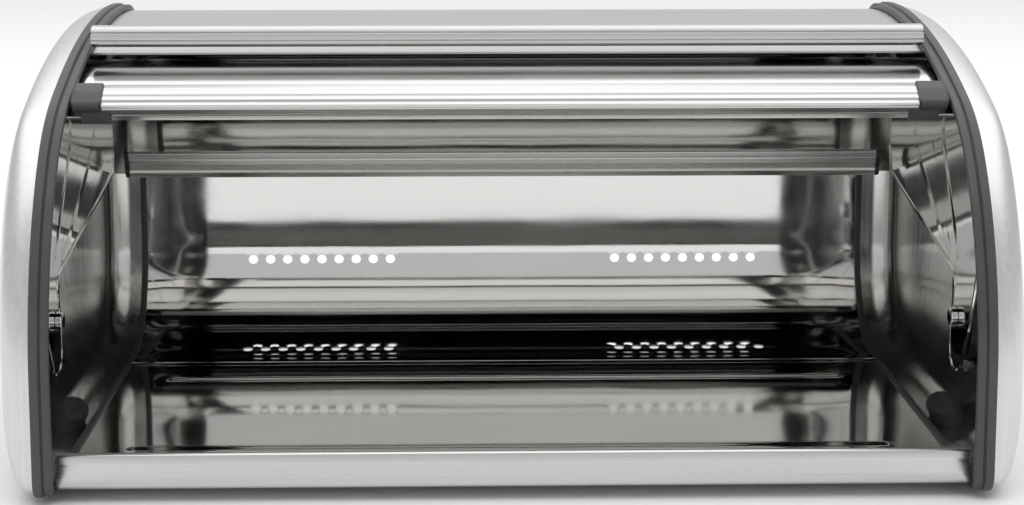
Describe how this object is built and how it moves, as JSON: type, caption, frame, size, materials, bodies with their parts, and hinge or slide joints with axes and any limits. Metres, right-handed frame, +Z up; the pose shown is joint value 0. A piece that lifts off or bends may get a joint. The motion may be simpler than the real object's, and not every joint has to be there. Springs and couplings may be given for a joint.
{
  "type": "roll-top bread bin",
  "caption": "Stainless steel bread bin with domed side pans, dark trim rings and a curved lid that rolls up under the roof on side pivots.",
  "frame": {"origin": "centre of the bin's footprint, on the surface that its feet stand on", "axes": "+Z up, the mouth and the lid's handle face -Y, +X is the right-hand side seen from the front"},
  "size_m": [0.442, 0.272, 0.184],
  "materials": {
    "sheet_steel": "stainless sheet, brushed outside and mirror-bright inside",
    "pan_steel": "deep-drawn satin stainless steel",
    "mirror_steel": "polished stainless steel",
    "polished_steel": "polished steel",
    "brushed_trim": "brushed folded profile",
    "trim_plastic": "dark grey moulded plastic, fine satin",
    "boss_plastic": "black moulded plastic",
    "washer_plastic": "natural nylon",
    "bumper_rubber": "soft black rubber",
    "foot_rubber": "black rubber"
  },
  "bodies": {
    "bin_body": {"roof_and_back_panel": "sheet_steel", "floor_panel": "sheet_steel", "front_sill": "brushed_trim", "roof_front_profile": "brushed_trim", "front_feet": "foot_rubber", "rear_feet": "foot_rubber", "left_side_pan": "pan_steel", "left_trim_ring": "trim_plastic", "left_pivot_boss": "boss_plastic", "left_pivot_stud": "polished_steel", "left_pivot_washer": "washer_plastic", "left_pivot_cap": "polished_steel", "left_lid_bumper": "bumper_rubber", "right_side_pan": "pan_steel", "right_trim_ring": "trim_plastic", "right_pivot_boss": "boss_plastic", "right_pivot_stud": "polished_steel", "right_pivot_washer": "washer_plastic", "right_pivot_cap": "polished_steel", "right_lid_bumper": "bumper_rubber"},
    "lid": {"lid_panel": "sheet_steel", "lid_handle_profile": "brushed_trim", "lid_rear_profile": "brushed_trim", "left_handle_cap": "trim_plastic", "left_rear_plug": "boss_plastic", "left_lid_arm": "mirror_steel", "right_handle_cap": "trim_plastic", "right_rear_plug": "boss_plastic", "right_lid_arm": "mirror_steel"}
  },
  "joints": [
    {"name": "lid_roll", "type": "hinge", "parent": "bin_body", "child": "lid", "pos_m": [0, -0.008, 0.047], "axis": [1, 0, 0], "range_deg": [0, 69]}
  ]
}
